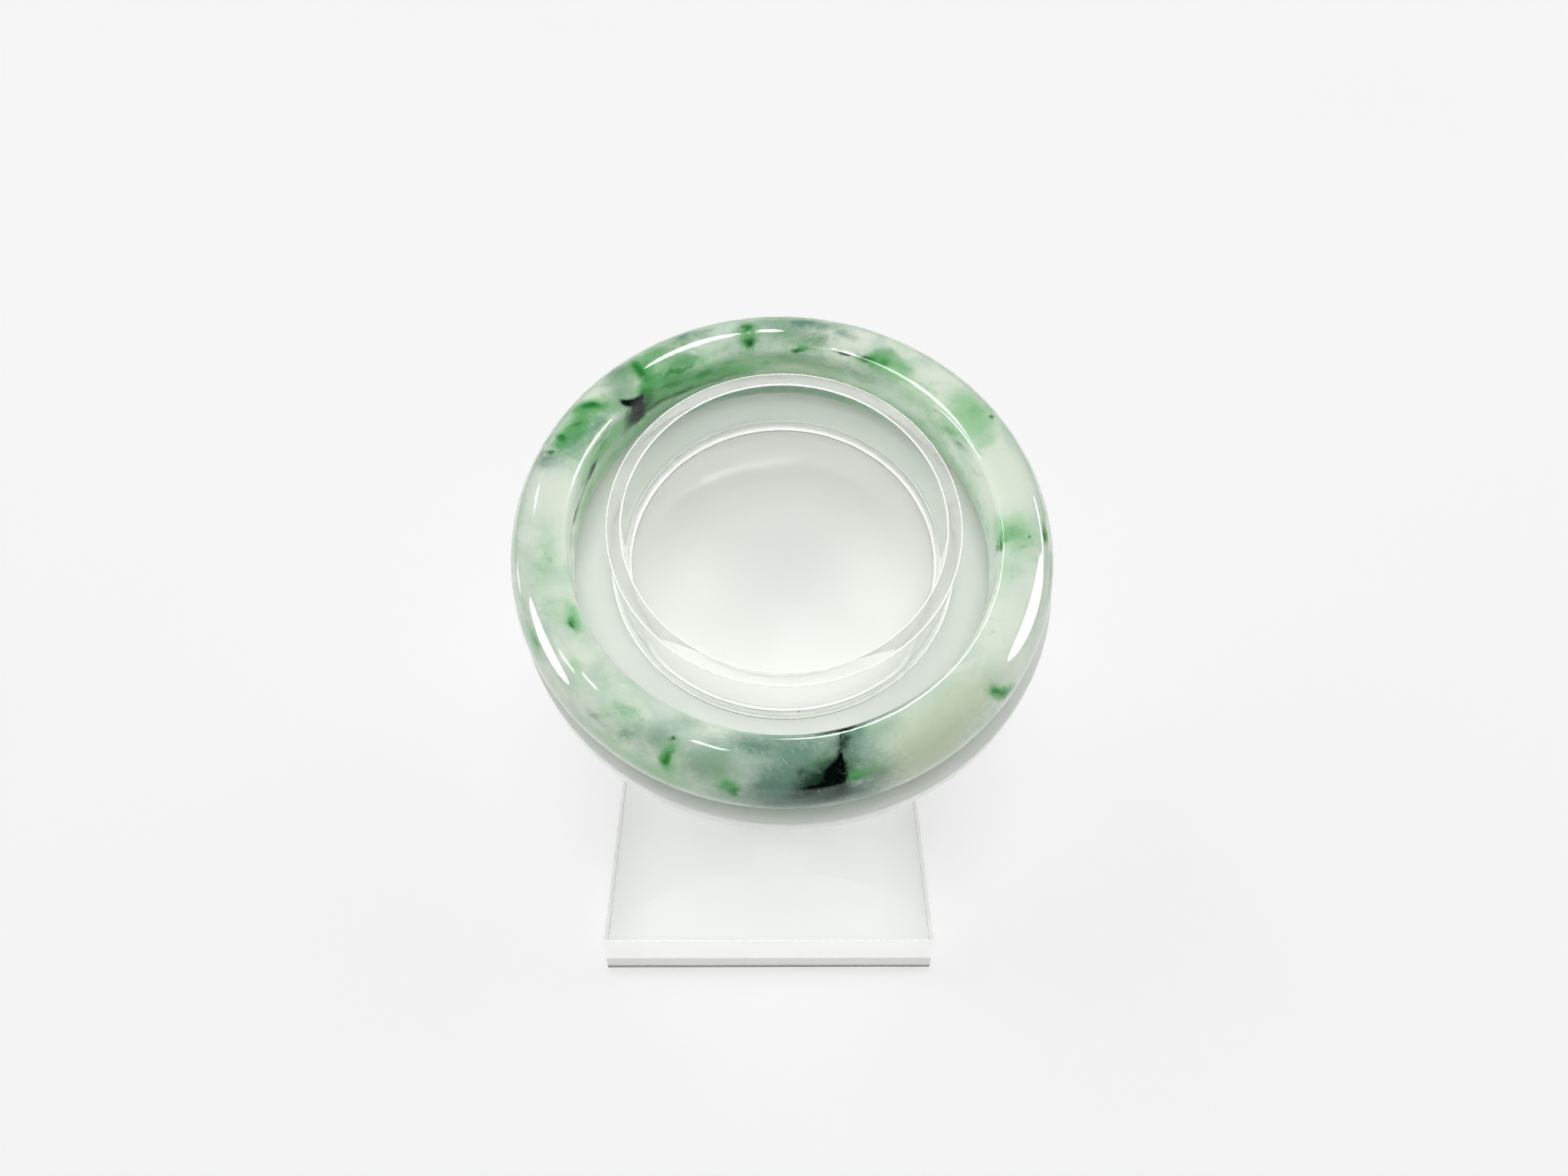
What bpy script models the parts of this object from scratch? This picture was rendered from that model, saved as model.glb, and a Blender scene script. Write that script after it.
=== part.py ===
"""Jade bangle on its clear display stand.

A polished jade ring with a rounded outside and a flat inside lies on a round plate that leans towards the viewer.
A short clear tube on the plate, the collar, stands up inside the ring and keeps it from sliding off.
A post with an obliquely cut top carries the plate, and a thick square foot carries the post.

Metres, +Z up. The origin is the centre of the foot's underside, and the head leans towards -Y.
"""
import math

import bmesh
import bpy

# Bangle: a turned ring, measured along its radius (wall) and along its axis (width).
BANGLE_INNER_DIAMETER = 0.0580
BANGLE_WALL = 0.00795
BANGLE_WIDTH = 0.0118
BANGLE_CREST_FROM_BORE = 0.0035
BANGLE_CROWN_FALL = 0.00135
BANGLE_EDGE_RADIUS = 0.0011

# Collar: the tube inside the bangle, with this much air between them all round.
COLLAR_CLEARANCE = 0.0051
COLLAR_WALL = 0.00206
COLLAR_HEIGHT = 0.0109
COLLAR_EDGE = 0.00015

# Plate under the bangle: it reaches this far past the bangle's outside.
PLATE_MARGIN = 0.0008
PLATE_THICKNESS = 0.00357
PLATE_EDGE = 0.0003

# Head: the plate with all that lies on it. Its height is that of the middle of the plate's top face.
HEAD_HEIGHT = 0.0630
HEAD_TILT_DEGREES = 23.55
HEAD_RIGHT_OF_FOOT = 0.0021
HEAD_BEHIND_FOOT = -0.0002

# The stand was put together by eye, so nothing is quite centred. Across is +X, uphill runs up the plate.
COLLAR_ACROSS = -0.00045
COLLAR_UPHILL = 0.00074
BANGLE_ACROSS = -0.00059
BANGLE_UPHILL = -0.00019

# Post and foot.
POST_DIAMETER = 0.010
POST_BEHIND_FOOT_CENTRE = 0.0015
FOOT_SIDE = 0.0516
FOOT_THICKNESS = 0.00766
FOOT_EDGE = 0.0003

# Air left between two pieces that rest on each other or are cemented together.
TOUCH_GAP = 0.0003

# Fineness of the round shapes.
TURN_STEPS = 80
POST_STEPS = 36
FLANK_STEPS = 16
CROWN_STEPS = 4
EDGE_STEPS = 3
BEVEL_STEPS = 2
SMOOTH_BELOW_DEGREES = 35.0

# Sizes that follow from the ones above.
BANGLE_INNER_RADIUS = BANGLE_INNER_DIAMETER / 2
BANGLE_OUTER_RADIUS = BANGLE_INNER_RADIUS + BANGLE_WALL
BANGLE_CREST_RADIUS = BANGLE_INNER_RADIUS + BANGLE_CREST_FROM_BORE
COLLAR_OUTER_RADIUS = BANGLE_INNER_RADIUS - COLLAR_CLEARANCE
COLLAR_INNER_RADIUS = COLLAR_OUTER_RADIUS - COLLAR_WALL
PLATE_RADIUS = BANGLE_OUTER_RADIUS + PLATE_MARGIN
HEAD_TILT = math.radians(HEAD_TILT_DEGREES)


def clear_scene():
    for old in list(bpy.data.objects):
        bpy.data.objects.remove(old, do_unlink=True)


def material(name, colour, roughness, transmission=0.0, subsurface=0.0):
    made = bpy.data.materials.new(name)
    made.use_nodes = True
    shader = made.node_tree.nodes["Principled BSDF"]
    shader.inputs["Base Color"].default_value = (*colour, 1.0)
    shader.inputs["Roughness"].default_value = roughness
    shader.inputs["Metallic"].default_value = 0.0
    shader.inputs["Transmission Weight"].default_value = transmission
    shader.inputs["Subsurface Weight"].default_value = subsurface
    made.diffuse_color = (*colour, 1.0)
    return made


def arc(centre, radii, start_degrees, end_degrees, steps):
    """Points of an elliptical arc in the (radius, height) plane, both ends included."""
    points = []
    for step in range(steps + 1):
        angle = math.radians(start_degrees + (end_degrees - start_degrees) * step / steps)
        points.append((centre[0] + radii[0] * math.cos(angle), centre[1] + radii[1] * math.sin(angle)))
    return points


def bangle_profile():
    """Closed section of the bangle about its mid-plane.

    The outside is half an ellipse between the two crests. From each crest a round crown falls towards the bore,
    and a small radius joins it to the flat inner wall, all tangent to each other.
    """
    half_width = BANGLE_WIDTH / 2
    reach = BANGLE_CREST_FROM_BORE
    crown_radius = (reach ** 2 + BANGLE_CROWN_FALL ** 2) / (2 * BANGLE_CROWN_FALL)
    crown_height = half_width - crown_radius
    edge = BANGLE_EDGE_RADIUS
    edge_height = crown_height + math.sqrt((crown_radius - edge) ** 2 - (reach - edge) ** 2)
    join_degrees = 90.0 + math.degrees(math.asin((reach - edge) / (crown_radius - edge)))

    flank_radii = (BANGLE_OUTER_RADIUS - BANGLE_CREST_RADIUS, half_width)
    flank = arc((BANGLE_CREST_RADIUS, 0.0), flank_radii, -90.0, 90.0, FLANK_STEPS)
    crown_centre = (BANGLE_CREST_RADIUS, crown_height)
    crown = arc(crown_centre, (crown_radius, crown_radius), 90.0, join_degrees, CROWN_STEPS)
    edge_centre = (BANGLE_INNER_RADIUS + edge, edge_height)
    top_edge = arc(edge_centre, (edge, edge), join_degrees, 180.0, EDGE_STEPS)

    inside = crown[1:] + top_edge[1:]
    mirrored = [(radius, -height) for radius, height in reversed(inside)]
    return flank + inside + mirrored


def collar_profile():
    """Closed section of the tube from its lower end up, with the sharp edges just broken."""
    inner, outer, height, edge = COLLAR_INNER_RADIUS, COLLAR_OUTER_RADIUS, COLLAR_HEIGHT, COLLAR_EDGE
    return [
        (outer - edge, 0.0),
        (outer, edge),
        (outer, height - edge),
        (outer - edge, height),
        (inner + edge, height),
        (inner, height - edge),
        (inner, edge),
        (inner + edge, 0.0),
    ]


def finish_mesh(name, shape, surface):
    """Turns a bmesh into an object that is shaded smooth up to its sharp edges."""
    bmesh.ops.recalc_face_normals(shape, faces=shape.faces)
    mesh = bpy.data.meshes.new(name)
    shape.to_mesh(mesh)
    shape.free()
    mesh.shade_smooth()
    mesh.set_sharp_from_angle(angle=math.radians(SMOOTH_BELOW_DEGREES))
    mesh.materials.append(surface)
    made = bpy.data.objects.new(name, mesh)
    bpy.context.collection.objects.link(made)
    return made


def turned(name, profile, surface):
    """Spins a closed (radius, height) profile round the Z axis."""
    shape = bmesh.new()
    corners = [shape.verts.new((radius, 0.0, height)) for radius, height in profile]
    edges = [shape.edges.new((corners[i - 1], corners[i])) for i in range(len(corners))]
    bmesh.ops.spin(
        shape,
        geom=corners + edges,
        cent=(0.0, 0.0, 0.0),
        axis=(0.0, 0.0, 1.0),
        angle=2 * math.pi,
        steps=TURN_STEPS,
        use_merge=True,
    )
    return finish_mesh(name, shape, surface)


def add_bevel(piece, width):
    bevel = piece.modifiers.new("broken edges", "BEVEL")
    bevel.width = width
    bevel.segments = BEVEL_STEPS
    bevel.limit_method = "ANGLE"
    bevel.angle_limit = math.radians(SMOOTH_BELOW_DEGREES)


def make_head_frame():
    """Empty in the middle of the plate's top face: X across, Y uphill, Z square to the plate."""
    frame = bpy.data.objects.new("head_frame", None)
    frame.location = (HEAD_RIGHT_OF_FOOT, HEAD_BEHIND_FOOT, HEAD_HEIGHT)
    frame.rotation_euler = (HEAD_TILT, 0.0, 0.0)
    bpy.context.collection.objects.link(frame)
    return frame


def make_bangle(head, jade):
    bangle = turned("jade_bangle", bangle_profile(), jade)
    bangle.parent = head
    bangle.location = (BANGLE_ACROSS, BANGLE_UPHILL, TOUCH_GAP + BANGLE_WIDTH / 2)
    return bangle


def make_collar(head, clear):
    collar = turned("collar", collar_profile(), clear)
    collar.parent = head
    collar.location = (COLLAR_ACROSS, COLLAR_UPHILL, TOUCH_GAP)
    return collar


def make_plate(head, opal):
    shape = bmesh.new()
    bmesh.ops.create_cone(
        shape,
        cap_ends=True,
        segments=TURN_STEPS,
        radius1=PLATE_RADIUS,
        radius2=PLATE_RADIUS,
        depth=PLATE_THICKNESS,
    )
    plate = finish_mesh("plate", shape, opal)
    plate.parent = head
    plate.location = (0.0, 0.0, -PLATE_THICKNESS / 2)
    add_bevel(plate, PLATE_EDGE)
    return plate


def plate_underside_height(x, y):
    """World height of the plate's underside, less the gap, straight above a point of the floor."""
    drop = (PLATE_THICKNESS + TOUCH_GAP) / math.cos(HEAD_TILT)
    return HEAD_HEIGHT + math.tan(HEAD_TILT) * (y - HEAD_BEHIND_FOOT) - drop


def make_post(clear):
    """Round post under the middle of the plate, its top cut to the plate's slope."""
    bottom = FOOT_THICKNESS + TOUCH_GAP
    shape = bmesh.new()
    bmesh.ops.create_cone(
        shape,
        cap_ends=True,
        segments=POST_STEPS,
        radius1=POST_DIAMETER / 2,
        radius2=POST_DIAMETER / 2,
        depth=1.0,
    )
    for corner in shape.verts:
        x = HEAD_RIGHT_OF_FOOT + corner.co.x
        y = POST_BEHIND_FOOT_CENTRE + corner.co.y
        z = bottom if corner.co.z < 0.0 else plate_underside_height(x, y)
        corner.co = (corner.co.x, corner.co.y, z)
    post = finish_mesh("post", shape, clear)
    post.location = (HEAD_RIGHT_OF_FOOT, POST_BEHIND_FOOT_CENTRE, 0.0)
    return post


def make_foot(clear):
    shape = bmesh.new()
    bmesh.ops.create_cube(shape, size=1.0)
    bmesh.ops.scale(shape, vec=(FOOT_SIDE, FOOT_SIDE, FOOT_THICKNESS), verts=shape.verts)
    foot = finish_mesh("foot", shape, clear)
    foot.location = (0.0, 0.0, FOOT_THICKNESS / 2)
    add_bevel(foot, FOOT_EDGE)
    return foot


def main():
    clear_scene()
    jade = material("jade", (0.56, 0.68, 0.55), 0.08, subsurface=0.3)
    clear = material("clear_acrylic", (0.97, 0.98, 0.97), 0.02, transmission=1.0)
    opal = material("opal_acrylic", (0.90, 0.91, 0.88), 0.10)
    head = make_head_frame()
    make_bangle(head, jade)
    make_collar(head, clear)
    make_plate(head, opal)
    make_post(clear)
    make_foot(clear)


main()
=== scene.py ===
"""Looks of the jade bangle on its stand: polished jade, clear and opal acrylic, a pale floor, soft light.

Metres, +Z up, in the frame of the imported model. The camera stands in front, at -Y, and looks down.
"""
import math

import bmesh
import bpy
import numpy as np
from mathutils import Matrix, Vector


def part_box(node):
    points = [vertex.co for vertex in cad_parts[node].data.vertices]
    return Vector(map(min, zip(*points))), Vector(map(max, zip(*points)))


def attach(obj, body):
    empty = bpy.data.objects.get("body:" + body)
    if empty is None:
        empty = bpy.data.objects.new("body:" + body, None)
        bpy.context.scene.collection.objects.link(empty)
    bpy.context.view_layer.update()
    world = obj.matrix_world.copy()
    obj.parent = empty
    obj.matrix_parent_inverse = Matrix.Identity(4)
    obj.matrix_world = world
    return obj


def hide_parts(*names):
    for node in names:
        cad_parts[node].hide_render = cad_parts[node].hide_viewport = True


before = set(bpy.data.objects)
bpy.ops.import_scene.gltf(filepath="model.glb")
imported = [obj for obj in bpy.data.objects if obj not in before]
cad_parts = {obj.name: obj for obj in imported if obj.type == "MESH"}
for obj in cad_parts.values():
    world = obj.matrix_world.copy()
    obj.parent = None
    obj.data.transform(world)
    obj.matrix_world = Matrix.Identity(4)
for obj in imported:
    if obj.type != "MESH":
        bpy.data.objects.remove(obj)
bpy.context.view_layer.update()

MM = 0.001

# Camera, fitted to the photograph: focal length and picture width in its pixels, angles in degrees.
FOCAL_PIXELS = 1538.0
PICTURE_WIDTH = 2048.0
SENSOR_WIDTH = 36.0
CAMERA_PLACE = Vector((-1.254, -129.58, 169.17)) * MM
CAMERA_PITCH = 40.603
CAMERA_YAW = 1.371
CAMERA_ROLL = 1.104
CAMERA_NEAR = 0.005
CAMERA_FAR = 20.0

# Section of the bangle, as the solid has it.
CREST_FROM_BORE = 3.5 * MM
CROWN_FALL = 1.35 * MM
BORE_EDGE_RADIUS = 1.1 * MM

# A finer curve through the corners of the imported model's polygons would stand proud of its box. These factors
# keep it inside, the first on an outer radius and the second on the bangle's width.
INSIDE = 0.9993
INSIDE_WIDTH = 0.9972

# Cemented pieces reach this far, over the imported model's gap and a little into the next piece.
BOND = 0.32 * MM

# Radius of the bead of cement at the foot of the collar, and of the collar's scraped rim edges.
BEAD = 0.4 * MM
RIM_EDGE = 0.17 * MM

# Width of the broken edges of the stand's other pieces.
PLATE_EDGE = 0.3 * MM
POST_EDGE = 0.15 * MM
FOOT_EDGE = 0.06 * MM

# Place of a dark speck on the plate: its distance from the middle, and its angle in degrees round it.
SPECK_FROM_MIDDLE = 20.98 * MM
SPECK_ANGLE = 273.9

# Painted shade on the frosted front of the foot below the first band of heights,
# and a painted contact shadow below the second.
FOOT_PAINTED_SHADE_BELOW = (2.7 * MM, 3.0 * MM)
FOOT_PAINTED_SHADOW_BELOW = (0.8 * MM, 1.0 * MM)

# Refractive indices.
JADE_IOR = 1.56
ACRYLIC_IOR = 1.49

# Flat pieces of the floor: name, left front corner, right back corner, and depth below the foot.
FLOORS = [
    ("sheet", (-0.245, -0.130), (0.42, 3.0), 0.05 * MM),
    ("table", (-3.0, -3.0), (3.0, 3.0), 0.25 * MM),
]

# Own glow of the floor in front of the object and beyond it, and the Y between which it changes.
FLOOR_GLOW = (0.285, 0.30)
FLOOR_GLOW_FROM = (-0.10, 0.20)

# Round pale wall at the ends of the table.
BACKDROP_RADIUS = 3.0
BACKDROP_HEIGHT = 3.0
BACKDROP_MIDDLE = 1.4

# Brightness of the room behind the camera and beyond the object, and the Y of the directions between which it
# changes.
ROOM_IN_FRONT = 0.13
ROOM_BEYOND = 0.75
ROOM_CHANGE = (-0.35, 0.5)

# Fineness of the meshes and of the curves that they follow.
BANGLE_STEPS = 720
SECTION_STEPS = 130
CURVE_STEPS = 300
TUBE_STEPS = 256
POST_STEPS = 96
BACKDROP_STEPS = 96
ROUND_STEPS = 4
EDGE_STEPS = 2


def node_points(name):
    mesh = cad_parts[name].data
    points = np.zeros(len(mesh.vertices) * 3)
    mesh.vertices.foreach_get("co", points)
    return points.reshape(-1, 3)


def head_axes():
    """Across, uphill and square to the plate, from the normal of the plate's largest faces."""
    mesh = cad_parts["plate"].data
    normal = Vector()
    for face in mesh.polygons:
        if face.normal.z > 0.5:
            normal += face.normal * face.area ** 2
    normal.normalize()
    across = Vector((1.0, 0.0, 0.0))
    uphill = normal.cross(across).normalized()
    return np.array(uphill.cross(normal)), np.array(uphill), np.array(normal)


ACROSS, UPHILL, SQUARE = head_axes()


class Turned:
    """Centre, radii and reach along the head's axis of a round piece that is square to the plate."""

    def __init__(self, name):
        points = node_points(name)
        u, v, w = points @ ACROSS, points @ UPHILL, points @ SQUARE
        self.u = (u.min() + u.max()) / 2
        self.v = (v.min() + v.max()) / 2
        self.low, self.high = w.min(), w.max()
        radii = np.hypot(u - self.u, v - self.v)
        self.inner, self.outer = radii.min(), radii.max() * INSIDE

    def point(self, radius, angle, w):
        """World points at a radius, an angle from across towards uphill, and a height square to the plate."""
        u = self.u + radius * np.cos(angle)
        v = self.v + radius * np.sin(angle)
        u, v, w = (np.asarray(value)[..., None] for value in (u, v, w))
        return u * ACROSS + v * UPHILL + w * SQUARE


def add_object(name, data):
    """Object with the given mesh, lamp or camera, in the scene."""
    made = bpy.data.objects.new(name, data)
    bpy.context.scene.collection.objects.link(made)
    return made


def closed_grid(name, points):
    """Smooth object from an array of points, rings by section, closed both ways."""
    rings, sections = points.shape[:2]
    index = np.arange(rings * sections).reshape(rings, sections)
    ahead = np.roll(index, -1, axis=0)
    faces = np.stack([index, ahead, np.roll(ahead, -1, axis=1), np.roll(index, -1, axis=1)], axis=-1)
    mesh = bpy.data.meshes.new(name)
    mesh.from_pydata(points.reshape(-1, 3).tolist(), [], faces.reshape(-1, 4).tolist())
    mesh.validate()
    mesh.shade_smooth()
    return add_object(name, mesh)


# Noise for the vertices

# Layers of ever finer noise, and how strong each is next to the one before.
OCTAVES = 3
OCTAVE_WEIGHT = 0.5


def lattice(cells, seed):
    """One repeatable number from 0 to 1 for each whole-numbered cell."""
    n = cells[..., 0] * 374761393 + cells[..., 1] * 668265263 + cells[..., 2] * 2147483647 + seed * 974634777
    n = (n ^ (n >> 13)) * 1274126177
    n = n ^ (n >> 16)
    return (n & 0xFFFFFF) / float(0xFFFFFF)


def noise(points, size, seed):
    """Smooth noise from 0 to 1 with features of the given size."""
    scaled = points / size
    base = np.floor(scaled).astype(np.int64)
    part = scaled - base
    part = part * part * (3.0 - 2.0 * part)
    total = np.zeros(points.shape[:-1])
    for corner in np.ndindex(2, 2, 2):
        side = np.abs(1 - np.array(corner) - part)
        weight = side[..., 0] * side[..., 1] * side[..., 2]
        total += weight * lattice(base + np.array(corner), seed)
    return total


def cloudy(points, size, seed):
    """Smooth noise with finer and weaker noise added."""
    total, weight_sum, weight = 0.0, 0.0, 1.0
    for octave in range(OCTAVES):
        total = total + weight * noise(points, size / 2 ** octave, seed + octave)
        weight_sum += weight
        weight *= OCTAVE_WEIGHT
    return total / weight_sum


# Bangle

def half_section(reach_out, half_width):
    """Way, radius beyond the bore and height, from the outer middle over the crest to the inner middle."""
    crown_radius = (CREST_FROM_BORE ** 2 + CROWN_FALL ** 2) / (2 * CROWN_FALL)
    crown_height = half_width - crown_radius
    inward = CREST_FROM_BORE - BORE_EDGE_RADIUS
    edge_height = crown_height + math.sqrt((crown_radius - BORE_EDGE_RADIUS) ** 2 - inward ** 2)
    join = math.pi / 2 + math.asin(inward / (crown_radius - BORE_EDGE_RADIUS))
    flank = np.linspace(0.0, math.pi / 2, CURVE_STEPS)
    crown = np.linspace(math.pi / 2, join, CURVE_STEPS)[1:]
    edge = np.linspace(join, math.pi, CURVE_STEPS)[1:]
    wall = np.linspace(edge_height, 0.0, CURVE_STEPS)[1:]
    radius = np.concatenate([
        CREST_FROM_BORE + (reach_out - CREST_FROM_BORE) * np.cos(flank),
        CREST_FROM_BORE + crown_radius * np.cos(crown),
        BORE_EDGE_RADIUS + BORE_EDGE_RADIUS * np.cos(edge),
        np.zeros(CURVE_STEPS - 1),
    ])
    height = np.concatenate([
        half_width * np.sin(flank),
        crown_height + crown_radius * np.sin(crown),
        edge_height + BORE_EDGE_RADIUS * np.sin(edge),
        wall,
    ])
    along = np.concatenate([[0.0], np.cumsum(np.hypot(np.diff(radius), np.diff(height)))])
    return along, radius, height
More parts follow.
